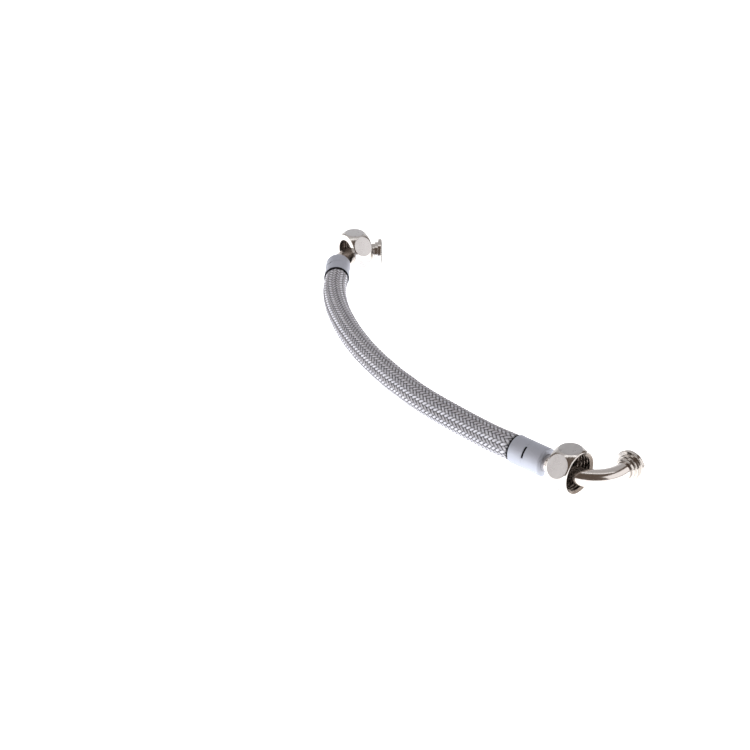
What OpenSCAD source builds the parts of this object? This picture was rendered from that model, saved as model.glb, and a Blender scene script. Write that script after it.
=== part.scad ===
// Braided stainless supply line with a 90 degree elbow and a loose union nut at each end.
// It lies flat: +Z is up, +Y runs along its length, and the origin is on the floor
// under the middle of the whole part.

/* [Hose] */
// Outside diameter of the wire braid
hose_od = 14; // [10:0.5:24]
// Thickness of the wire braid
braid_t = 0.65; // [0.4:0.05:1.2]
// Wall of the rubber liner inside the braid
liner_t = 1.35; // [1:0.05:3]

/* [Crimp ferrules] */
// Length of a ferrule from its mouth to its outlet end
ferrule_l = 19; // [15:0.5:30]
// Wall of a ferrule round the braid
ferrule_wall = 0.35; // [0.3:0.05:0.8]
// Distance from the mouth to the groove and its inspection slot
groove_at = 8.5; // [6:0.5:11]
// Width of the groove round the ferrule
groove_w = 0.9; // [0.6:0.1:1.5]

/* [Elbow tubes] */
// Outside diameter of the elbow tube
tube_od = 9; // [7:0.1:11]
// Wall of the elbow tube
tube_wall = 1; // [0.6:0.1:1.4]
// Radius of the bend on the tube's centreline
bend_r = 19; // [16:0.5:26]
// Straight of the near elbow between ferrule and bend
near_straight = 13; // [6:0.5:20]
// Straight of the near elbow between bend and sealing face
near_tail = 8; // [7:0.5:16]
// Straight of the far elbow between ferrule and bend
far_straight = 1; // [0.5:0.5:4]
// Straight of the far elbow between bend and sealing face
far_tail = 7; // [7:0.5:16]

/* [Collars and seals] */
// Gap all round between the flange and the thread's inside diameter
flange_gap = 0.6; // [0.3:0.05:1]
// Thickness of the flange
flange_t = 2.2; // [1.6:0.1:3]
// Length of each of the two steps behind the flange
step_l = 2; // [1.2:0.1:2.4]
// Thickness of the flat rubber seal
seal_t = 1.4; // [1.2:0.1:2]
// Width of the flange's metal rim outside the seal
seal_rim = 1.1; // [0.8:0.1:1.6]

/* [Union nuts] */
// Size across the nut's flats, which the turned ends cut down to round faces
nut_af = 23; // [22.5:0.1:28]
// Length of the nut
nut_l = 13; // [10.5:0.5:16]
// Outside diameter of the pipe thread that the nut screws on
thread_major = 20.955; // [20.5:0.005:21]
// Inside diameter of the nut's thread
thread_minor = 18.631; // [18.4:0.001:19]
// Pitch of the pipe thread
thread_pitch = 1.814; // [1.5:0.001:2]
// Hole in the back of the nut, which passes the tube and the collar's steps
nut_hole_d = 15; // [14.6:0.1:15.6]

/* [Hidden] */
$fn = 64;
eps = 0.01;

// Clearances
rubber_gap = 0.15;    // liner to braid, and insert to liner
ferrule_gap = 0.2;    // braid to ferrule bore
braze_gap = 0.05;     // tube to collar and to ferrule hole
seal_gap = 0.1;       // seal to its groove
tube_slack = 0.5;     // tube to the nut's back hole where it lies in it
step_gap = 0.9;       // collar's larger step to the nut's back hole

// Hose, as the radii of twelve-sided tubes; flat_of is the apothem over the radius
sides = 12;
flat_of = cos(180 / sides);
braid_r = hose_od / 2;
braid_in_r = braid_r - braid_t;
liner_r = braid_in_r - rubber_gap;
liner_in_r = liner_r - liner_t;
spline_steps = 2;

// Ferrule and insert
ferrule_bore_r = braid_r + ferrule_gap;
ferrule_r = ferrule_bore_r + ferrule_wall;
mouth_flare = 0.2;
end_wall = 1;
shoulder_t = 1.5;
shoulder_r = ferrule_bore_r - 0.25;
hose_seat = end_wall + shoulder_t + 0.1;
slot_w = 1.2;
slot_span = 50;       // degrees of the ferrule that the inspection slot covers
slot_middle = 37;     // degrees that it stands above the horizontal
insert_r = liner_in_r * flat_of - rubber_gap;
insert_bore_r = insert_r - 1.2;
barbs = 4;
barb_depth = 0.35;

// Elbow, collar and seal
tube_r = tube_od / 2;
collar_l = flange_t + 2 * step_l;
flange_r = thread_minor / 2 - flange_gap;
step2_r = nut_hole_d / 2 - step_gap;
step1_r = (tube_r + step2_r) / 2;
seal_in_r = tube_r + 0.9;
seal_out_r = flange_r - seal_rim;
seal_groove = 1;
seal_proud = seal_t - seal_groove;

// Nut
nut_corner_r = nut_af / 2 / cos(30);
nut_mid_r = nut_corner_r - 0.28;   // the corners, turned down
nut_face_l = nut_l - 1.2;          // length of the round face left on each flat
mouth_r = thread_major / 2 + 0.12;
crown_steps = 12;
nut_lip = 2.4;
nut_relief = 0.5;

// The nut's outside is turned to an arc that passes through both ends of a flat's round
// face and through the middle of a corner
crown_middle = (pow(nut_mid_r, 2) - pow(nut_face_l / 2, 2) - pow(nut_af / 2, 2)) / (2 * nut_mid_r - nut_af);
crown_r = nut_mid_r - crown_middle;

thread_turns = floor((nut_l - nut_lip - nut_relief - 1.2) / thread_pitch);
thread_start = nut_lip + nut_relief;
thread_end = thread_start + thread_turns * thread_pitch;

// Where each end lies: the middle of the ferrule's outlet end, the way it points,
// and the side that the elbow turns to (1 is left, -1 is right). A nut rests on one of
// its flats and the tube lies in its back hole, which sets the tube's height.
nut_z = nut_af / 2;
tube_z = max(nut_z - (nut_hole_d / 2 - tube_r - tube_slack), ferrule_r, flange_r);
near_end = [34, -121.5];
near_heading = -44;
near_turn = 1;
far_end = [-73.5, 111.5];
far_heading = 88;
far_turn = -1;

// Where the nuts are parked: the near one on the straight, the far one askew on the bend
near_nut_at = near_straight + 1.2;
far_nut_angle = 60;   // degrees round the bend
far_nut_out = 0.5;    // outward from the bend's centreline
far_nut_heading = 55; // degrees turned from the ferrule's heading

function way(heading) = [cos(heading), sin(heading), 0];
function near_point(x) = [near_end[0], near_end[1], tube_z] + x * way(near_heading);
function far_point(x) = [far_end[0], far_end[1], tube_z] + x * way(far_heading);

// The hose's way over the floor between the ferrules, as x, y and how far it is off the floor
lie = [
    [9, -96, 1], [3.5, -89, 0.4], [-2, -82.5, 0.1], [-7.5, -76, 0], [-13, -69.5, 0],
    [-18.5, -63, 0], [-24, -56, 0], [-29.5, -48.5, 0], [-34.5, -40.5, 0], [-40, -32, 0],
    [-45, -23, 0], [-50, -13.5, 0], [-55, -3, 0], [-59.5, 8, 0], [-64, 20.5, 0],
    [-68, 34, 0], [-71.5, 48, 0], [-74, 63, 0.3], [-75, 76, 1.2]
];
leader = 5;           // the hose runs straight this far out of each ferrule
route = concat(
    [for (x = [hose_seat, ferrule_l / 2, ferrule_l, ferrule_l + leader]) near_point(-x)],
    [for (p = lie) p + [0, 0, braid_r]],
    [for (x = [ferrule_l + leader, ferrule_l, ferrule_l / 2, hose_seat]) far_point(-x)]
);

// A smooth line through the route's points
function spline(a, b, c, d, t) =
    0.5 * (2 * b + (c - a) * t + (2 * a - 5 * b + 4 * c - d) * t * t + (3 * b - a - 3 * c + d) * t * t * t);
function smooth(p) = let (n = len(p) - 1, q = concat([2 * p[0] - p[1]], p, [2 * p[n] - p[n - 1]]))
    concat([for (i = [0 : n - 1]) for (k = [0 : spline_steps - 1])
        spline(q[i], q[i + 1], q[i + 2], q[i + 3], k / spline_steps)], [p[n]]);
line = smooth(route);
rings = len(line);

function unit(v) = v / norm(v);
function ring(i, r) =
    let (t = unit(line[min(i + 1, rings - 1)] - line[max(i - 1, 0)]),
         side = unit(cross(t, [0, 0, 1])), up = cross(side, t))
    [for (k = [0 : sides - 1]) line[i] + r * (cos(k * 360 / sides) * side + sin(k * 360 / sides) * up)];

// A hollow hose along the line: the outer rings of points come first, then the inner ones
module hose(r_out, r_in) {
    points = concat([for (i = [0 : rings - 1]) each ring(i, r_out)],
                    [for (i = [0 : rings - 1]) each ring(i, r_in)]);
    inner = rings * sides;
    last = (rings - 1) * sides;
    walls = [for (i = [0 : rings - 2]) for (k = [0 : sides - 1])
        let (a = i * sides + k, b = i * sides + (k + 1) % sides)
        each [[a, b + sides, b], [a, a + sides, b + sides],
              [inner + a, inner + b, inner + b + sides], [inner + a, inner + b + sides, inner + a + sides]]];
    ends = [for (k = [0 : sides - 1])
        let (a = k, b = (k + 1) % sides, c = last + a, d = last + b)
        each [[a, b, inner + b], [a, inner + b, inner + a],
              [c, inner + d, d], [c, inner + c, inner + d]]];
    polyhedron(points, concat(walls, ends), convexity = 6);
}

// Puts a child in an end's own frame: +X leaves the ferrule along its axis
module at_end(place, heading) {
    translate([place[0], place[1], tube_z]) rotate([0, 0, heading]) children();
}

// Puts a child in an elbow's outlet frame: +X leaves the bend towards the sealing face
module at_outlet(straight, turn) {
    translate([straight + bend_r, turn * bend_r, 0]) rotate([0, 0, 90 * turn]) children();
}

// Turns a child that is drawn along +Z to run along +X from x
module along_x(x) {
    translate([x, 0, 0]) rotate([0, 90, 0]) children();
}

module hose_liner() color("#2b2b2d") hose(liner_r, liner_in_r);

module wire_braid() color("#9a9ca0") hose(braid_r, braid_in_r);

// side is 1 where the inspection slot faces the right of the way out, and -1 for the left
module ferrule(side) {
    difference() {
        along_x(-ferrule_l) rotate_extrude() polygon([
            [ferrule_bore_r + mouth_flare, 0], [ferrule_r, 0], [ferrule_r, groove_at],
            [ferrule_r - 0.15, groove_at + 0.15], [ferrule_r - 0.15, groove_at + groove_w - 0.15],
            [ferrule_r, groove_at + groove_w], [ferrule_r, ferrule_l - 0.5], [ferrule_r - 0.4, ferrule_l],
            [tube_r + braze_gap, ferrule_l], [tube_r + braze_gap, ferrule_l - end_wall],
            [ferrule_bore_r, ferrule_l - end_wall], [ferrule_bore_r, mouth_flare * 3]
        ]);
        rotate([side * (slot_middle - slot_span / 2 - 90), 0, 0])
            along_x(groove_at + groove_w / 2 - slot_w / 2 - ferrule_l)
            rotate([0, 0, side > 0 ? 0 : -slot_span])
            rotate_extrude(angle = slot_span) translate([braid_r + eps, 0]) square([2, slot_w]);
    }
}

// Crimped into the hose: a barbed tail in the liner and a shoulder brazed to the elbow
module hose_insert() {
    tail_l = ferrule_l - end_wall - shoulder_t - 1;
    barb_l = tail_l / barbs;
    along_x(-end_wall - shoulder_t - tail_l) rotate_extrude() polygon(concat(
        [[insert_bore_r, 0]],
        [for (i = [0 : barbs - 1]) each [[insert_r - barb_depth, i * barb_l], [insert_r, (i + 0.7) * barb_l],
            [insert_r - barb_depth, (i + 0.7) * barb_l + eps]]],
        [[insert_r - barb_depth, tail_l], [shoulder_r, tail_l], [shoulder_r, tail_l + shoulder_t],
         [insert_bore_r, tail_l + shoulder_t]]
    ));
}

// A rod of radius r along an elbow's centreline, longer than the elbow by extra at both ends
module elbow_rod(r, straight, tail, turn, extra) {
    along_x(-end_wall - extra) cylinder(h = end_wall + extra + straight, r = r);
    translate([straight, turn * bend_r, 0]) rotate([0, 0, turn > 0 ? -90 : 0])
        rotate_extrude(angle = 90) translate([bend_r, 0]) circle(r = r);
    at_outlet(straight, turn) along_x(0) cylinder(h = tail + extra, r = r);
}

module elbow_tube(straight, tail, turn) {
    difference() {
        elbow_rod(tube_r, straight, tail, turn, 0);
        elbow_rod(tube_r - tube_wall, straight, tail, turn, 1);
    }
}

module collar(tail) {
    along_x(tail - collar_l) rotate_extrude() polygon([
        [tube_r + braze_gap, 0], [step1_r, 0], [step1_r, step_l], [step2_r, step_l],
        [step2_r, 2 * step_l], [flange_r - 0.3, 2 * step_l], [flange_r, 2 * step_l + 0.3],
        [flange_r, collar_l - 0.3], [flange_r - 0.3, collar_l],
        [seal_out_r + seal_gap, collar_l], [seal_out_r + seal_gap, collar_l - seal_groove],
        [seal_in_r - seal_gap, collar_l - seal_groove], [seal_in_r - seal_gap, collar_l],
        [tube_r + braze_gap, collar_l]
    ]);
}

module seal(tail) {
    along_x(tail - seal_groove) rotate_extrude()
        translate([seal_in_r, 0]) square([seal_out_r - seal_in_r, seal_t]);
}

// Drawn along +Z from its back face to its threaded mouth, with flats above and below once laid down
module union_nut() {
    difference() {
        intersection() {
            rotate([0, 0, 30]) cylinder(h = nut_l, r = nut_corner_r, $fn = 6);
            rotate_extrude() polygon(concat(
                [[0, 0]],
                [for (i = [0 : crown_steps]) let (x = (i / crown_steps - 0.5) * nut_l)
                    [crown_middle + sqrt(crown_r * crown_r - x * x), x + nut_l / 2]],
                [[0, nut_l]]
            ));
        }
        rotate_extrude() polygon(concat(
            [[0, -1], [nut_hole_d / 2, -1], [nut_hole_d / 2, nut_lip],
             [thread_major / 2, nut_lip + 0.2], [thread_major / 2, thread_start - 0.1]],
            [for (i = [0 : thread_turns - 1]) each [[thread_minor / 2, thread_start + i * thread_pitch + 0.1],
                [thread_major / 2, thread_start + (i + 0.5) * thread_pitch]]],
            [[thread_minor / 2, thread_end], [thread_minor / 2, nut_l - 1.2],
             [mouth_r, nut_l], [mouth_r, nut_l + 1], [0, nut_l + 1]]
        ));
    }
}

module near_ferrule() color("#a7abb2") at_end(near_end, near_heading) ferrule(1);
module near_hose_insert() color("#c9b27c") at_end(near_end, near_heading) hose_insert();
module near_elbow_tube() color("#c4c2be") at_end(near_end, near_heading)
    elbow_tube(near_straight, near_tail, near_turn);
module near_collar() color("#c4c2be") at_end(near_end, near_heading)
    at_outlet(near_straight, near_turn) collar(near_tail);
module near_seal() color("#1c1c1e") at_end(near_end, near_heading)
    at_outlet(near_straight, near_turn) seal(near_tail);
module near_union_nut() color("#b9b4ae") at_end(near_end, near_heading)
    translate([near_nut_at, 0, nut_z - tube_z]) along_x(-nut_l / 2) union_nut();

module far_ferrule() color("#a7abb2") at_end(far_end, far_heading) ferrule(-1);
module far_hose_insert() color("#c9b27c") at_end(far_end, far_heading) hose_insert();
module far_elbow_tube() color("#c4c2be") at_end(far_end, far_heading)
    elbow_tube(far_straight, far_tail, far_turn);
module far_collar() color("#c4c2be") at_end(far_end, far_heading)
    at_outlet(far_straight, far_turn) collar(far_tail);
module far_seal() color("#1c1c1e") at_end(far_end, far_heading)
    at_outlet(far_straight, far_turn) seal(far_tail);
module far_union_nut() color("#b9b4ae") at_end(far_end, far_heading)
    translate([far_straight + (bend_r + far_nut_out) * sin(far_nut_angle),
               far_turn * (bend_r - (bend_r + far_nut_out) * cos(far_nut_angle)), nut_z - tube_z])
    rotate([0, 0, far_turn * far_nut_heading]) along_x(-nut_l / 2) union_nut();

hose_liner();
wire_braid();
near_ferrule();
near_hose_insert();
near_elbow_tube();
near_collar();
near_seal();
near_union_nut();
far_ferrule();
far_hose_insert();
far_elbow_tube();
far_collar();
far_seal();
far_union_nut();
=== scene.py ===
import math
import bmesh
import bpy
import numpy as np
from mathutils import Matrix, Vector


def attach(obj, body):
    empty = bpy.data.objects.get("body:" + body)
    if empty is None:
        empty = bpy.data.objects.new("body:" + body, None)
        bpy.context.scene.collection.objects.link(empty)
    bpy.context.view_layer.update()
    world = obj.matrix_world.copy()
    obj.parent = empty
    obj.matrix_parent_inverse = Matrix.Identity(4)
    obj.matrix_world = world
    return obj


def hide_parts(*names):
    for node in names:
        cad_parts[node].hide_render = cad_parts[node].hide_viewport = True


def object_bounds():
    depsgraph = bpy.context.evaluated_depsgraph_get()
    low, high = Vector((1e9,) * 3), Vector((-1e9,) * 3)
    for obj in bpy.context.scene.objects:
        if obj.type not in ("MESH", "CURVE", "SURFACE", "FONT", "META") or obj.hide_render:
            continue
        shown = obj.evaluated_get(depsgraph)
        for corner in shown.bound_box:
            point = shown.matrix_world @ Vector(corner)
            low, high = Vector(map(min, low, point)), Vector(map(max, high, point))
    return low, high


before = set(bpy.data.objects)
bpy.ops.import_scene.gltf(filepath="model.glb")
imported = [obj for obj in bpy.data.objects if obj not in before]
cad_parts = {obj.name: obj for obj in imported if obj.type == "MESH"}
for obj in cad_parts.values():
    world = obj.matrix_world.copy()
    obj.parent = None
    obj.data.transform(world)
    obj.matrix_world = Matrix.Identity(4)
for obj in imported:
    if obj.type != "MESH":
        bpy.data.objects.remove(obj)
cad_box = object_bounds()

# ---- Camera ----
# It stands a little under a metre in front of the supply line and looks down on it,
# with a longish lens, so the near elbow and the far elbow are close to the same scale.
camera = bpy.data.objects.new("camera", bpy.data.cameras.new("camera"))
bpy.context.scene.collection.objects.link(camera)
camera.location = (-0.0509, -0.8406, 0.4489)
camera.rotation_euler = (math.radians(61.5), 0.0, 0.0)
camera.data.sensor_width = 36.0
camera.data.lens = 81.6
camera.data.clip_start = 0.05
camera.data.clip_end = 20.0
bpy.context.scene.camera = camera

# ---- Hose ----
# The line's body is a rubber liner inside a braid of stainless wire. It lies loose on the
# floor in one long lazy curve, and its last few millimetres run straight into each ferrule.
MM = 0.001
HOSE_RADIUS = 7 * MM
TUBE_HEIGHT = 9 * MM
FERRULE_LENGTH = 19 * MM
NEAR_HEADING = math.radians(-44)
FAR_HEADING = math.radians(88)
near_end = Matrix.Translation((0.034, -0.1215, TUBE_HEIGHT)) @ Matrix.Rotation(NEAR_HEADING, 4, "Z")
far_end = Matrix.Translation((-0.0735, 0.1115, TUBE_HEIGHT)) @ Matrix.Rotation(FAR_HEADING, 4, "Z")

inside_ferrule = (2.6, 9.5, 19.0, 24.0)
lie = [
    (9, -96, 1), (3.5, -89, 0.4), (-2, -82.5, 0.1), (-7.5, -76, 0), (-13, -69.5, 0),
    (-18.5, -63, 0), (-24, -56, 0), (-29.5, -48.5, 0), (-34.5, -40.5, 0), (-40, -32, 0),
    (-45, -23, 0), (-50, -13.5, 0), (-55, -3, 0), (-59.5, 8, 0), (-64, 20.5, 0),
    (-68, 34, 0), (-71.5, 48, 0), (-74, 63, 0.3), (-75, 76, 1.2),
]
hose_route = [near_end @ Vector((-x * MM, 0, 0)) for x in inside_ferrule]
hose_route += [Vector((x * MM, y * MM, z * MM + HOSE_RADIUS)) for x, y, z in lie]
hose_route += [far_end @ Vector((-x * MM, 0, 0)) for x in reversed(inside_ferrule)]


def smooth_line(points, steps):
    p = np.array([list(q) for q in points])
    p = np.vstack([2 * p[0] - p[1], p, 2 * p[-1] - p[-2]])
    line = []
    for a, b, c, d in zip(p, p[1:], p[2:], p[3:]):
        for t in np.arange(steps) / steps:
            line.append(0.5 * (2 * b + (c - a) * t + (2 * a - 5 * b + 4 * c - d) * t ** 2
                               + (3 * b - a - 3 * c + d) * t ** 3))
    return np.array(line + [p[-2]])


hose_line = smooth_line(hose_route, 16)
line_at = np.concatenate([[0], np.cumsum(np.linalg.norm(np.diff(hose_line, axis=0), axis=1))])
hose_length = float(line_at[-1])
line_way = np.gradient(hose_line, line_at, axis=0)
line_way /= np.linalg.norm(line_way, axis=1, keepdims=True)
line_side = np.cross(line_way, (0, 0, 1))
line_side /= np.linalg.norm(line_side, axis=1, keepdims=True)
line_up = np.cross(line_side, line_way)


def round_hose(along, angle, radius):
    """Points that far along the hose, at that angle round it and that far from its middle."""
    def on_line(values):
        return np.stack([np.interp(along, line_at, values[:, k]) for k in range(3)], axis=-1)
    return on_line(hose_line) + radius[..., None] * (
        np.cos(angle)[..., None] * on_line(line_side) + np.sin(angle)[..., None] * on_line(line_up))


def make_piece(name, points, faces, material, body, stands_for=(), place=None,
               sharp=38, painted_shade=None):
    """A piece of the line from its points and faces. The last argument gives how much painted shade darkens
    each point, from 0 to 1.
    """
    mesh = bpy.data.meshes.new(name)
    mesh.from_pydata([tuple(p) for p in points], [], faces)
    shape = bmesh.new()
    shape.from_mesh(mesh)
    bmesh.ops.recalc_face_normals(shape, faces=shape.faces)
    shape.to_mesh(mesh)
    shape.free()
    mesh.shade_smooth()
    mesh.set_sharp_from_angle(angle=math.radians(sharp))
    for m in material if isinstance(material, list) else [material]:
        mesh.materials.append(m)
    if painted_shade is not None:
        mesh.attributes.new("painted_shade", "FLOAT", "POINT").data.foreach_set("value", painted_shade)
    made = bpy.data.objects.new(name, mesh)
    bpy.context.scene.collection.objects.link(made)
    if place is not None:
        made.matrix_world = place
    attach(made, body)
    if stands_for:
        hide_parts(*stands_for)
    return made


def finish(name, light, dark, metallic, rough, grain, stretch=(1, 1, 1), relief=0.0, patches=60.0,
           shade_colour=None, **sockets):
    """A surface with a fine grain, drawn out by stretch, over broad patches of lighter and darker tone.
    The last colour is painted shade, mixed in where the mesh's per-point shade attribute is high."""
    material = bpy.data.materials.new(name)
    material.use_nodes = True
    nodes, links = material.node_tree.nodes, material.node_tree.links
    shader = nodes["Principled BSDF"]
    shader.inputs["Metallic"].default_value = metallic
    for socket, value in sockets.items():
        shader.inputs[socket.replace("_", " ")].default_value = value
    where = nodes.new("ShaderNodeTexCoord")
    drawn = nodes.new("ShaderNodeMapping")
    drawn.inputs["Scale"].default_value = stretch
    links.new(where.outputs["Object"], drawn.inputs["Vector"])
    fine = nodes.new("ShaderNodeTexNoise")
    fine.inputs["Scale"].default_value = grain
    fine.inputs["Detail"].default_value = 5.0
    links.new(drawn.outputs["Vector"], fine.inputs["Vector"])
    broad = nodes.new("ShaderNodeTexNoise")
    broad.inputs["Scale"].default_value = patches
    broad.inputs["Detail"].default_value = 3.0
    links.new(where.outputs["Object"], broad.inputs["Vector"])
    both = nodes.new("ShaderNodeMath")
    both.operation = "MULTIPLY_ADD"
    both.inputs[1].default_value = 0.5
    links.new(fine.outputs["Fac"], both.inputs[0])
    half = nodes.new("ShaderNodeMath")
    half.operation = "MULTIPLY"
    half.inputs[1].default_value = 0.5
    links.new(broad.outputs["Fac"], half.inputs[0])
    links.new(half.outputs[0], both.inputs[2])
    tone = nodes.new("ShaderNodeValToRGB")
    tone.color_ramp.elements[0].position = 0.32
    tone.color_ramp.elements[1].position = 0.68
    tone.color_ramp.elements[0].color = (*dark, 1)
    tone.color_ramp.elements[1].color = (*light, 1)
    links.new(both.outputs[0], tone.inputs["Fac"])
    if shade_colour is None:
        links.new(tone.outputs["Color"], shader.inputs["Base Color"])
    else:
        # Painted shade: the per-point attribute mixes the base colour towards the dark shade colour.
        shade_amount = nodes.new("ShaderNodeAttribute")
        shade_amount.attribute_name = "painted_shade"
        with_shade = nodes.new("ShaderNodeMix")
        with_shade.data_type = "RGBA"
        with_shade.inputs[7].default_value = (*shade_colour, 1)
        links.new(shade_amount.outputs["Fac"], with_shade.inputs[0])
        links.new(tone.outputs["Color"], with_shade.inputs[6])
        links.new(with_shade.outputs[2], shader.inputs["Base Color"])
    gloss = nodes.new("ShaderNodeMapRange")
    gloss.inputs["From Min"].default_value = 0.3
    gloss.inputs["From Max"].default_value = 0.7
    gloss.inputs["To Min"].default_value = rough[0]
    gloss.inputs["To Max"].default_value = rough[1]
    links.new(fine.outputs["Fac"], gloss.inputs["Value"])
    links.new(gloss.outputs["Result"], shader.inputs["Roughness"])
    if relief:
        marks = nodes.new("ShaderNodeBump")
        marks.inputs["Strength"].default_value = 1.0
        marks.inputs["Distance"].default_value = relief
        links.new(fine.outputs["Fac"], marks.inputs["Height"])
        links.new(marks.outputs["Normal"], shader.inputs["Normal"])
    return material


# ---- Wire braid ----
# Forty flat strands of five drawn stainless wires, twenty laid each way round the liner.
# They are woven two over and two under. The crevices between them, the strand edges and the strand ends
# under the ferrules are painted dark as shade.
STRANDS = 20
BRAID_LEAD = 56 * MM
WIRES = 5
STRAND_HALF = 0.45
WEAVE_MIDDLE = 6.66 * MM
WEAVE_HEIGHT = 0.19 * MM
WEAVE_BENDS = [0, 0.535, 1, 1.465, 2, 2.535, 3, 3.465]
WEAVE_REPEATS = (-52, 64)
CREVICE_TOP = 0.26 * MM
CREVICE_DEPTH = 0.42 * MM
CREVICE_EDGE = 0.62
WIRE_CROWN = 0.13 * MM
WIRE_VALLEY = 0.03 * MM
STRAND_ROUNDING = 0.07 * MM
STRAND_EDGE = -0.08 * MM
STRAND_BACK = -0.14 * MM

# The near-black colour given last below is painted as shade in the braid's crevices.
wire_steel = finish("braid_wire_steel", (0.93, 0.94, 1.0), (0.72, 0.73, 0.80), 1.0, (0.54, 0.66), 1500.0,
                    relief=0.00003, patches=220.0, shade_colour=(0.03, 0.03, 0.035))

across = [-STRAND_HALF + 2 * STRAND_HALF * k / (2 * WIRES) for k in range(2 * WIRES + 1)]
above = [(WIRE_CROWN if k % 2 else WIRE_VALLEY) - STRAND_ROUNDING * (k / WIRES - 1) ** 2
         for k in range(2 * WIRES + 1)]
above[0] = above[-1] = STRAND_EDGE
across += [STRAND_HALF * 0.9, -STRAND_HALF * 0.9]
above += [STRAND_BACK, STRAND_BACK]
across, above = np.array(across), np.array(above)
ring_size = len(across)


def strand_set(name, hand, stands_for):
    """Every strand that is laid one way round: hand is 1 for right and -1 for left."""
    points, faces, painted_shade = [], [], []
    crossings = 2 * STRANDS * hose_length / BRAID_LEAD
    bends = (np.arange(*WEAVE_REPEATS)[:, None] * 4 + np.array(WEAVE_BENDS)).ravel() + 0.5
    for strand in range(STRANDS):
        travel = np.sort(hand * (bends - 2 * strand))
        travel = travel[(travel > -0.4) & (travel < crossings + 0.4)]
        travel = np.concatenate([[-0.5], travel, [crossings + 0.5]])
        count = len(travel)
        own = strand + across[None, :]
        other = (strand + hand * travel)[:, None]
        along = np.clip(hand * (other - own) * BRAID_LEAD / (2 * STRANDS), 0, hose_length)
        angle = (own + other) * math.pi / STRANDS
        over = np.clip(1.5 * np.cos(math.pi / 2 * (strand + other - 0.5)), -1, 1) * hand
        radius = WEAVE_MIDDLE + WEAVE_HEIGHT * over + above[None, :]
        shape = round_hose(along, angle + 0 * along, radius + 0 * along)
        # Painted shade: the wire colour darkens where a strand dips under its neighbours, towards its
        # edges, and where it runs under a ferrule.
        depth = np.clip((WEAVE_MIDDLE + CREVICE_TOP - radius) / CREVICE_DEPTH, 0, 1)
        edge = np.clip(np.abs(across) / STRAND_HALF - CREVICE_EDGE, 0, 1)[None, :] / (1 - CREVICE_EDGE)
        covered = np.clip((FERRULE_LENGTH - np.minimum(along, hose_length - along)) / MM - 0.2, 0, 1)
        shade_amount = np.clip(1.35 * depth ** 1.2 + 0.5 * edge + covered, 0, 1)
        painted_shade += list(shade_amount.ravel())
        first = len(points)
        points += list(shape.reshape(-1, 3))
        for i in range(count - 1):
            for k in range(ring_size):
                a = first + i * ring_size + k
                b = first + i * ring_size + (k + 1) % ring_size
                faces.append((a, b, b + ring_size, a + ring_size))
        faces.append(tuple(first + k for k in range(ring_size)))
        faces.append(tuple(first + (count - 1) * ring_size + k for k in range(ring_size)))
    return make_piece(name, points, faces, wire_steel, "hose", stands_for,
                      sharp=60, painted_shade=painted_shade)


right_strands = strand_set("braid_strands_right", 1, ["wire_braid"])
left_strands = strand_set("braid_strands_left", -1, ["wire_braid"])

# ---- Liner ----
# A smooth tube of EPDM rubber that carries the water. It is pushed over the inserts at both
# ends, and only its dark wall shows, between the strands of the braid.
liner_epdm = finish("liner_epdm", (0.030, 0.030, 0.033), (0.014, 0.014, 0.016), 0.0, (0.5, 0.75), 900.0,
                    relief=0.00004)
hose_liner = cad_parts["hose_liner"]
for s in hose_liner.material_slots:
    s.material = liner_epdm

# ---- Ferrules ----
# A thin stainless cup that is crimped over each end of the hose. It has a rolled mouth,
# a groove round its middle, a slot to check the crimp through, and a broken edge at its end.
FERRULE_BORE = 7.2 * MM
FERRULE_RADIUS = 7.55 * MM
GROOVE_AT = 8.5 * MM
GROOVE_WIDTH = 0.9 * MM
GROOVE_DEPTH = 0.15 * MM
SLOT_HALF_WIDTH = 0.6 * MM
SLOT_HALF_ANGLE = math.radians(25)
SLOT_TURN = math.radians(37)

# The near-black colour given last below is painted as shade inside the ferrule's mouth.
ferrule_steel = finish("ferrule_steel", (0.64, 0.67, 0.75), (0.56, 0.59, 0.67), 1.0, (0.60, 0.70), 160.0,
                       stretch=(14, 1, 1), relief=0.00003, shade_colour=(0.02, 0.02, 0.022))


def eased(profile, radius, steps=4):
    """The closed profile with each corner rounded off."""
    out = []
    n = len(profile)
    for i in range(n):
        a, b, c = (Vector(profile[j % n]) for j in (i - 1, i, i + 1))
        r = radius if len(profile[i]) == 2 else profile[i][2]
        a, b, c = a.to_2d(), b.to_2d(), c.to_2d()
        back, on = a - b, c - b
        cut = min(r, 0.48 * back.length, 0.48 * on.length)
        p, q = b + back.normalized() * cut, b + on.normalized() * cut
        for k in range(steps + 1):
            t = k / steps
            out.append(tuple((1 - t) ** 2 * p + 2 * t * (1 - t) * b + t ** 2 * q))
    return out


def turned(profile, segments=128):
    """A profile of (along, radius) pairs turned about the local X axis."""
    n = len(profile)
    points = [(x, r * math.cos(2 * math.pi * k / segments), r * math.sin(2 * math.pi * k / segments))
              for k in range(segments) for x, r in profile]
    faces = [(k * n + i, k * n + (i + 1) % n,
              (k + 1) % segments * n + (i + 1) % n, (k + 1) % segments * n + i)
             for k in range(segments) for i in range(n)]
    return points, faces


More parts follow.
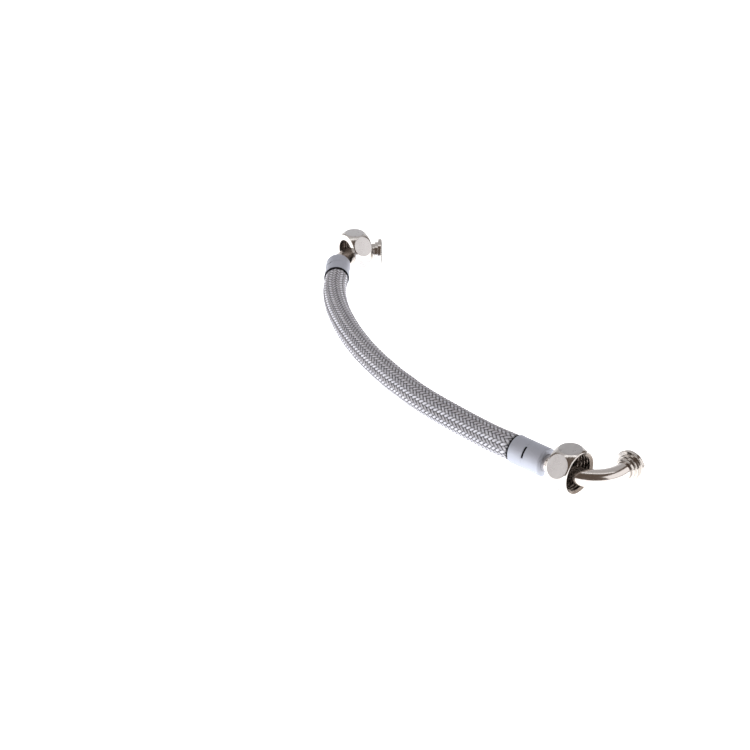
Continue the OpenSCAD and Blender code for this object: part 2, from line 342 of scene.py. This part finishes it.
def cut_slot(cup, middle):
    """Opens the inspection slot through the ferrule's wall, round that angle."""
    steps = 20
    slot_at = GROOVE_AT + GROOVE_WIDTH / 2 - FERRULE_LENGTH
    low, high = slot_at - SLOT_HALF_WIDTH, slot_at + SLOT_HALF_WIDTH
    points, faces = [], []
    for k in range(steps + 1):
        angle = middle - SLOT_HALF_ANGLE + 2 * SLOT_HALF_ANGLE * k / steps
        for x, r in ((low, 7.05 * MM), (high, 7.05 * MM), (high, 8.5 * MM), (low, 8.5 * MM)):
            points.append((x, r * math.cos(angle), r * math.sin(angle)))
    for k in range(steps):
        for i in range(4):
            faces.append((4 * k + i, 4 * k + (i + 1) % 4, 4 * k + 4 + (i + 1) % 4, 4 * k + 4 + i))
    faces += [(3, 2, 1, 0), tuple(4 * steps + i for i in range(4))]
    mesh = bpy.data.meshes.new("slot_cutter")
    mesh.from_pydata(points, [], faces)
    shape = bmesh.new()
    shape.from_mesh(mesh)
    bmesh.ops.recalc_face_normals(shape, faces=shape.faces)
    shape.to_mesh(mesh)
    shape.free()
    cutter = bpy.data.objects.new("slot_cutter", mesh)
    bpy.context.scene.collection.objects.link(cutter)
    cutter.matrix_world = cup.matrix_world
    cut = cup.modifiers.new("slot", "BOOLEAN")
    cut.operation, cut.solver, cut.object = "DIFFERENCE", "EXACT", cutter
    bpy.context.view_layer.update()
    opened = bpy.data.meshes.new_from_object(cup.evaluated_get(bpy.context.evaluated_depsgraph_get()))
    cup.modifiers.clear()
    cup.data = opened
    bpy.data.objects.remove(cutter)
    opened.shade_smooth()
    opened.set_sharp_from_angle(angle=math.radians(38))


def ferrule(name, place, slot_angle, stands_for):
    L, R, B = FERRULE_LENGTH / MM, FERRULE_RADIUS / MM, FERRULE_BORE / MM
    G, W, D = GROOVE_AT / MM, GROOVE_WIDTH / MM, GROOVE_DEPTH / MM
    tube = 4.55
    profile = [
        (0, B + 0.25, 0.1), (0, R + 0.12, 0.12), (0.9, R + 0.1, 0.5), (1.6, R, 0.5),
        (G, R, 0.1), (G + D, R - D, 0.1), (G + W - D, R - D, 0.1), (G + W, R, 0.1),
        (L - 0.5, R, 0.2), (L, R - 0.4, 0.15), (L, tube, 0.08),
        (L - 1, tube, 0.05), (L - 1, B, 0.1), (1.0, B, 0.5),
    ]
    shape = [((x - L) * MM, r * MM) for x, r in eased(profile, 0.2)]
    points, faces = turned(shape)
    # Painted shade: the inside of the mouth is darkened as the shade in the gap round the braid.
    inside = [float(0.3 * MM < x + FERRULE_LENGTH < 3 * MM and math.hypot(y, z) < FERRULE_RADIUS - 0.3 * MM)
              for x, y, z in points]
    made = make_piece(name, points, faces, ferrule_steel, "hose", stands_for, place,
                      painted_shade=inside)
    cut_slot(made, slot_angle)
    return made


ferrule("ferrule_near", near_end, math.pi - SLOT_TURN, ["near_ferrule"])
far_ferrule = ferrule("ferrule_far", far_end, SLOT_TURN, ["far_ferrule"])

# ---- Hose inserts ----
# A brass tail with barbs, pushed into the liner before the ferrule is crimped down on it.
# It is hidden by the hose and the ferrule.
insert_brass = finish("insert_brass", (0.72, 0.55, 0.26), (0.55, 0.40, 0.17), 1.0, (0.25, 0.4), 500.0,
                      stretch=(1, 1, 6), relief=0.00002)
for name in ("near_hose_insert", "far_hose_insert"):
    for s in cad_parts[name].material_slots:
        s.material = insert_brass

# ---- Elbow tubes ----
# Nickel-plated brass tube, bent a quarter turn and brazed to the insert at one end
# and to the collar at the other. It is polished, with faint ripples left by the bending.
TUBE_RADIUS = 4.5 * MM
TUBE_BORE = 3.5 * MM
BEND_RADIUS = 19 * MM
NEAR_STRAIGHT = 13 * MM
NEAR_TAIL = 8 * MM
FAR_STRAIGHT = 1 * MM
FAR_TAIL = 7 * MM

tube_nickel = finish("tube_nickel", (0.74, 0.71, 0.69), (0.68, 0.65, 0.63), 1.0, (0.14, 0.20), 120.0,
                     relief=0.00002, patches=35.0)


def elbow(name, place, straight, tail, turn, stands_for):
    """A tube that runs straight, turns a quarter circle to that side, and ends in a straight tail."""
    around, bend_steps = 64, 48
    spots = [(-1 * MM, 0, 0), (straight * 0.5, 0, 0)]
    for k in range(bend_steps + 1):
        a = math.pi / 2 * k / bend_steps
        spots.append((straight + BEND_RADIUS * math.sin(a), turn * BEND_RADIUS * (1 - math.cos(a)), a))
    x, y = straight + BEND_RADIUS, turn * BEND_RADIUS
    spots += [(x, y + turn * tail * f, math.pi / 2) for f in (0.5, 1)]
    points, faces = [], []
    rows = [(s, TUBE_RADIUS) for s in spots] + [(s, TUBE_BORE) for s in reversed(spots)]
    for (x, y, a), r in rows:
        for k in range(around):
            f = 2 * math.pi * k / around
            out = r * math.cos(f)
            points.append((x - out * math.sin(a), y + turn * out * math.cos(a), r * math.sin(f)))
    n = len(rows)
    for i in range(n):
        for k in range(around):
            a, b = i * around + k, i * around + (k + 1) % around
            c, d = (i + 1) % n * around + (k + 1) % around, (i + 1) % n * around + k
            faces.append((a, b, c, d))
    return make_piece(name, points, faces, tube_nickel, "hose", stands_for, place)


elbow("elbow_tube_near", near_end, NEAR_STRAIGHT, NEAR_TAIL, 1, ["near_elbow_tube"])
far_elbow = elbow("elbow_tube_far", far_end, FAR_STRAIGHT, FAR_TAIL, -1, ["far_elbow_tube"])

# ---- Collars ----
# A turned and plated ring that the union nut pulls on, in three steps, brazed to the
# end of the tube. Its face has a groove for the seal.
collar_nickel = finish("collar_nickel", (0.74, 0.71, 0.68), (0.62, 0.60, 0.58), 1.0, (0.10, 0.2), 200.0,
                       stretch=(10, 1, 1), relief=0.00002)


def outlet(place, straight, tail, turn):
    """The frame at the sealing face of an elbow, with X out of the tube."""
    return place @ Matrix.Translation((straight + BEND_RADIUS, turn * (BEND_RADIUS + tail), 0)) \
        @ Matrix.Rotation(math.radians(90 * turn), 4, "Z")


near_outlet = outlet(near_end, NEAR_STRAIGHT, NEAR_TAIL, 1)
far_outlet = outlet(far_end, FAR_STRAIGHT, FAR_TAIL, -1)


def collar(name, place, stands_for):
    profile = [
        (-6.2, 4.55, 0.1), (-6.2, 5.55, 0.25), (-4.2, 5.55, 0.12), (-4.2, 6.6, 0.25), (-2.2, 6.6, 0.12),
        (-2.2, 8.7155, 0.4), (0, 8.7155, 0.4), (0, 7.7155, 0.08), (-1, 7.7155, 0.1), (-1, 5.3, 0.1),
        (0, 5.3, 0.08), (0, 4.55, 0.1),
    ]
    points, faces = turned([(x * MM, r * MM) for x, r in eased(profile, 0.2)])
    return make_piece(name, points, faces, collar_nickel, "hose", stands_for, place)


collar("collar_near", near_outlet, ["near_collar"])
far_collar = collar("collar_far", far_outlet, ["far_collar"])

# ---- Seals ----
# A flat black rubber ring that sits in the groove of the collar's face and stands a little
# proud of it. The union nut squeezes it against the fitting that the line is screwed to.
seal_rubber = finish("seal_rubber", (0.035, 0.035, 0.037), (0.016, 0.016, 0.018), 0.0, (0.45, 0.7), 1200.0,
                     relief=0.00004)


def seal(name, place, stands_for):
    profile = [(-1, 5.4, 0.1), (-1, 7.6155, 0.1), (0.12, 7.6155, 0.25), (0.12, 5.4, 0.25)]
    points, faces = turned([(x * MM, r * MM) for x, r in eased(profile, 0.2)])
    return make_piece(name, points, faces, seal_rubber, "hose", stands_for, place)


seal("seal_near", near_outlet, ["near_seal"])
far_seal = seal("seal_far", far_outlet, ["far_seal"])

# ---- Union nuts ----
# A hexagon nut of plated brass, loose on the elbow tube. Its outside is turned to a full
# curve that leaves a round face on each flat, and its pipe thread runs in from the mouth.
NUT_FLATS = 23 * MM
NUT_LENGTH = 13 * MM
NUT_MIDDLE = 13.0 * MM
NUT_FACE = 11.8 * MM
NUT_HOLE = 7.5 * MM
NUT_MOUTH = 10.6 * MM
NUT_LIP = 2.4 * MM
THREAD_OUT = 10.4775 * MM
THREAD_IN = 9.3155 * MM
THREAD_PITCH = 1.814 * MM
NEAR_NUT_AT = 14.2 * MM
FAR_NUT_SWING = 19.5 * MM
FAR_NUT_ANGLE = math.radians(60)
FAR_NUT_HEADING = math.radians(55)
NUT_RISE = 2.5 * MM

nut_satin = finish("nut_satin", (0.64, 0.635, 0.635), (0.53, 0.52, 0.525), 1.0, (0.24, 0.34), 300.0,
                   relief=0.00003, patches=80.0)
nut_bright = finish("nut_bright", (0.80, 0.78, 0.76), (0.70, 0.68, 0.66), 1.0, (0.14, 0.22), 200.0,
                    stretch=(10, 1, 1), relief=0.00002)
nut_inside = finish("nut_inside", (0.34, 0.30, 0.27), (0.20, 0.17, 0.15), 1.0, (0.22, 0.34), 400.0,
                    stretch=(8, 1, 1), relief=0.00003)

crown_middle = (NUT_MIDDLE ** 2 - (NUT_FACE / 2) ** 2 - (NUT_FLATS / 2) ** 2) / (2 * NUT_MIDDLE - NUT_FLATS)
crown_radius = NUT_MIDDLE - crown_middle


def crown(x):
    """The turned outside of the nut, x from its middle."""
    return crown_middle + math.sqrt(crown_radius ** 2 - x * x)


def nut_outside(flat_radius):
    """The outside from back to mouth, where the flat is that far from the axis."""
    half = NUT_LENGTH / 2
    edge = 0.3 * MM
    if flat_radius < NUT_MIDDLE:
        edge = max(edge, math.sqrt(crown_radius ** 2 - (flat_radius - crown_middle) ** 2))
    ease = 0.14 * MM
    xs = [-half + 0.22 * MM + (half - 0.22 * MM - edge - ease) * k / 8 for k in range(9)]
    xs += [-edge] + [(-edge + ease) + 2 * (edge - ease) * k / 6 for k in range(7)] + [edge]
    xs += [-x for x in reversed(xs[:9])]
    rows = [(x, min(flat_radius, crown(x))) for x in xs]
    rows[9] = (rows[9][0], rows[9][1] - 0.018 * MM)
    rows[17] = (rows[17][0], rows[17][1] - 0.018 * MM)
    back, rim = -half, crown(half) - 0.22 * MM
    edge_in, edge_up = 0.07 * MM, 0.15 * MM
    return ([(back, rim), (back + edge_in, rim + edge_up)] + rows
            + [(-back - edge_in, rim + edge_up), (-back, rim)])


def thread_depth(x, angle):
    """How deep the thread is cut at x from the nut's middle, from 0 at its crest to 1 at its root."""
    wave = math.cos(2 * math.pi * (x / THREAD_PITCH - angle / (2 * math.pi)))
    depth = 0.5 - 0.5 * max(-1, min(1, 1.2 * wave))
    depth *= min(1, max(0, (NUT_LENGTH / 2 - 1.3 * MM - x) / (0.5 * MM)))
    relief = min(1, max(0, (NUT_LIP + 0.9 * MM - NUT_LENGTH / 2 - x) / (0.4 * MM)))
    return depth + (1 - depth) * relief


def union_nut(name, place, body, stands_for):
    across = math.sqrt(NUT_MIDDLE ** 2 - (NUT_FLATS / 2) ** 2)
    corner = NUT_FLATS / 2 * math.tan(math.pi / 6)
    steps = [across * math.sin(math.pi / 2 * k / 9) for k in range(-9, 10)]
    steps += [across + (corner - across) * k / 3 for k in (1, 2, 3)]
    steps = [-across - (corner - across) * k / 3 for k in (2, 1)] + steps
    angles = [(math.radians(30 + 60 * flat) + math.atan2(v, NUT_FLATS / 2), math.hypot(v, NUT_FLATS / 2))
              for flat in range(6) for v in steps]
    half, rows = NUT_LENGTH / 2, 64
    points = []
    for angle, flat_radius in angles:
        profile = nut_outside(flat_radius)
        outside = len(profile)
        profile += [(half, NUT_MOUTH + 0.1 * MM), (half - 0.08 * MM, NUT_MOUTH)]
        for k in range(rows + 1):
            x = half - 1.1 * MM + (NUT_LIP + 0.3 * MM - NUT_LENGTH + 1.1 * MM) * k / rows
            profile.append((x, THREAD_IN + (THREAD_OUT - THREAD_IN) * thread_depth(x, angle)))
        profile += [
            (NUT_LIP + 0.02 * MM - half, THREAD_OUT - 0.3 * MM), (NUT_LIP - half, THREAD_OUT - 0.6 * MM),
            (NUT_LIP - half, NUT_HOLE + 0.2 * MM), (NUT_LIP - 0.2 * MM - half, NUT_HOLE),
            (0.3 * MM - half, NUT_HOLE), (0.08 * MM - half, NUT_HOLE + 0.08 * MM),
            (-half, NUT_HOLE + 0.3 * MM),
        ]
        points += [(x, r * math.cos(angle), r * math.sin(angle)) for x, r in profile]
    n = len(profile)
    faces, kinds = [], []
    for k, (angle, flat_radius) in enumerate(angles):
        m = (k + 1) % len(angles)
        on_flat = max(flat_radius, angles[m][1]) < NUT_MIDDLE + 0.02 * MM
        for i in range(n):
            j = (i + 1) % n
            faces.append((k * n + i, k * n + j, m * n + j, m * n + i))
            if i < outside + 1 or i >= n - 2:
                kinds.append(0 if on_flat and 11 <= i < 19 else 1)
            else:
                kinds.append(2)
    made = make_piece(name, points, faces, [nut_satin, nut_bright, nut_inside], body,
                      stands_for, place, sharp=24)
    made.data.polygons.foreach_set("material_index", kinds)
    return made


union_nut("union_nut_near", near_end @ Matrix.Translation((NEAR_NUT_AT, 0, NUT_RISE)), "near_nut",
          ["near_union_nut"])
far_nut = union_nut(
    "union_nut_far",
    far_end @ Matrix.Translation((FAR_STRAIGHT + FAR_NUT_SWING * math.sin(FAR_NUT_ANGLE),
                                  FAR_NUT_SWING * math.cos(FAR_NUT_ANGLE) - BEND_RADIUS, NUT_RISE))
    @ Matrix.Rotation(-FAR_NUT_HEADING, 4, "Z"),
    "far_nut", ["far_union_nut"])

# ---- Floor and light ----
# A white table that glows softly, as a light table does. Pale cards stand behind it and at
# both sides, a narrow lamp hangs overhead, and the room behind the camera is dark.
floor_mesh = bpy.data.meshes.new("floor")
floor_mesh.from_pydata([(-3, -3, 0), (3, -3, 0), (3, 3, 0), (-3, 3, 0)], [], [(0, 1, 2, 3)])
floor = bpy.data.objects.new("floor", floor_mesh)
bpy.context.scene.collection.objects.link(floor)
floor_mesh.materials.append(finish(
    "table_white", (0.93, 0.93, 0.93), (0.91, 0.91, 0.91), 0.0, (0.6, 0.7), 3.0,
    Emission_Color=(1.0, 1.0, 1.0, 1.0), Emission_Strength=1.3))
floor.location.z = min(0.0, cad_box[0].z)


def soft_card(name, place, size, glow, colour=(1, 1, 1)):
    """A lamp that faces the supply line. glow is how bright the card itself looks."""
    lamp = bpy.data.lights.new(name, "AREA")
    lamp.shape = "RECTANGLE"
    lamp.size, lamp.size_y = size
    lamp.energy = glow * math.pi * size[0] * size[1]
    lamp.color = colour
    made = bpy.data.objects.new(name, lamp)
    bpy.context.scene.collection.objects.link(made)
    made.location = place
    made.rotation_mode = "QUATERNION"
    made.rotation_quaternion = (-Vector(place)).to_track_quat("-Z", "Y")


soft_card("card_behind_low", (0.0, 2.4, 0.56), (4.0, 1.1), 0.72, (0.93, 0.96, 1.0))
soft_card("card_behind", (0.0, 2.2, 1.75), (4.0, 1.5), 0.42, (0.93, 0.96, 1.0))
soft_card("card_above", (0.0, 0.6, 2.1), (3.0, 1.6), 0.42, (0.95, 0.97, 1.0))
soft_card("lamp_overhead", (0.0, -0.15, 1.8), (2.4, 0.3), 1.1)
soft_card("card_left", (-2.0, -0.15, 0.93), (2.2, 1.6), 0.95, (0.98, 0.96, 0.96))
soft_card("card_right", (1.8, -0.75, 0.93), (2.8, 1.6), 1.1, (1.0, 0.98, 0.98))
world = bpy.data.worlds.new("dark_room")
world.use_nodes = True
world.node_tree.nodes["Background"].inputs["Color"].default_value = (0.13, 0.098, 0.078, 1)
world.node_tree.nodes["Background"].inputs["Strength"].default_value = 1.0
bpy.context.scene.world = world
bpy.context.scene.view_settings.view_transform = "Standard"
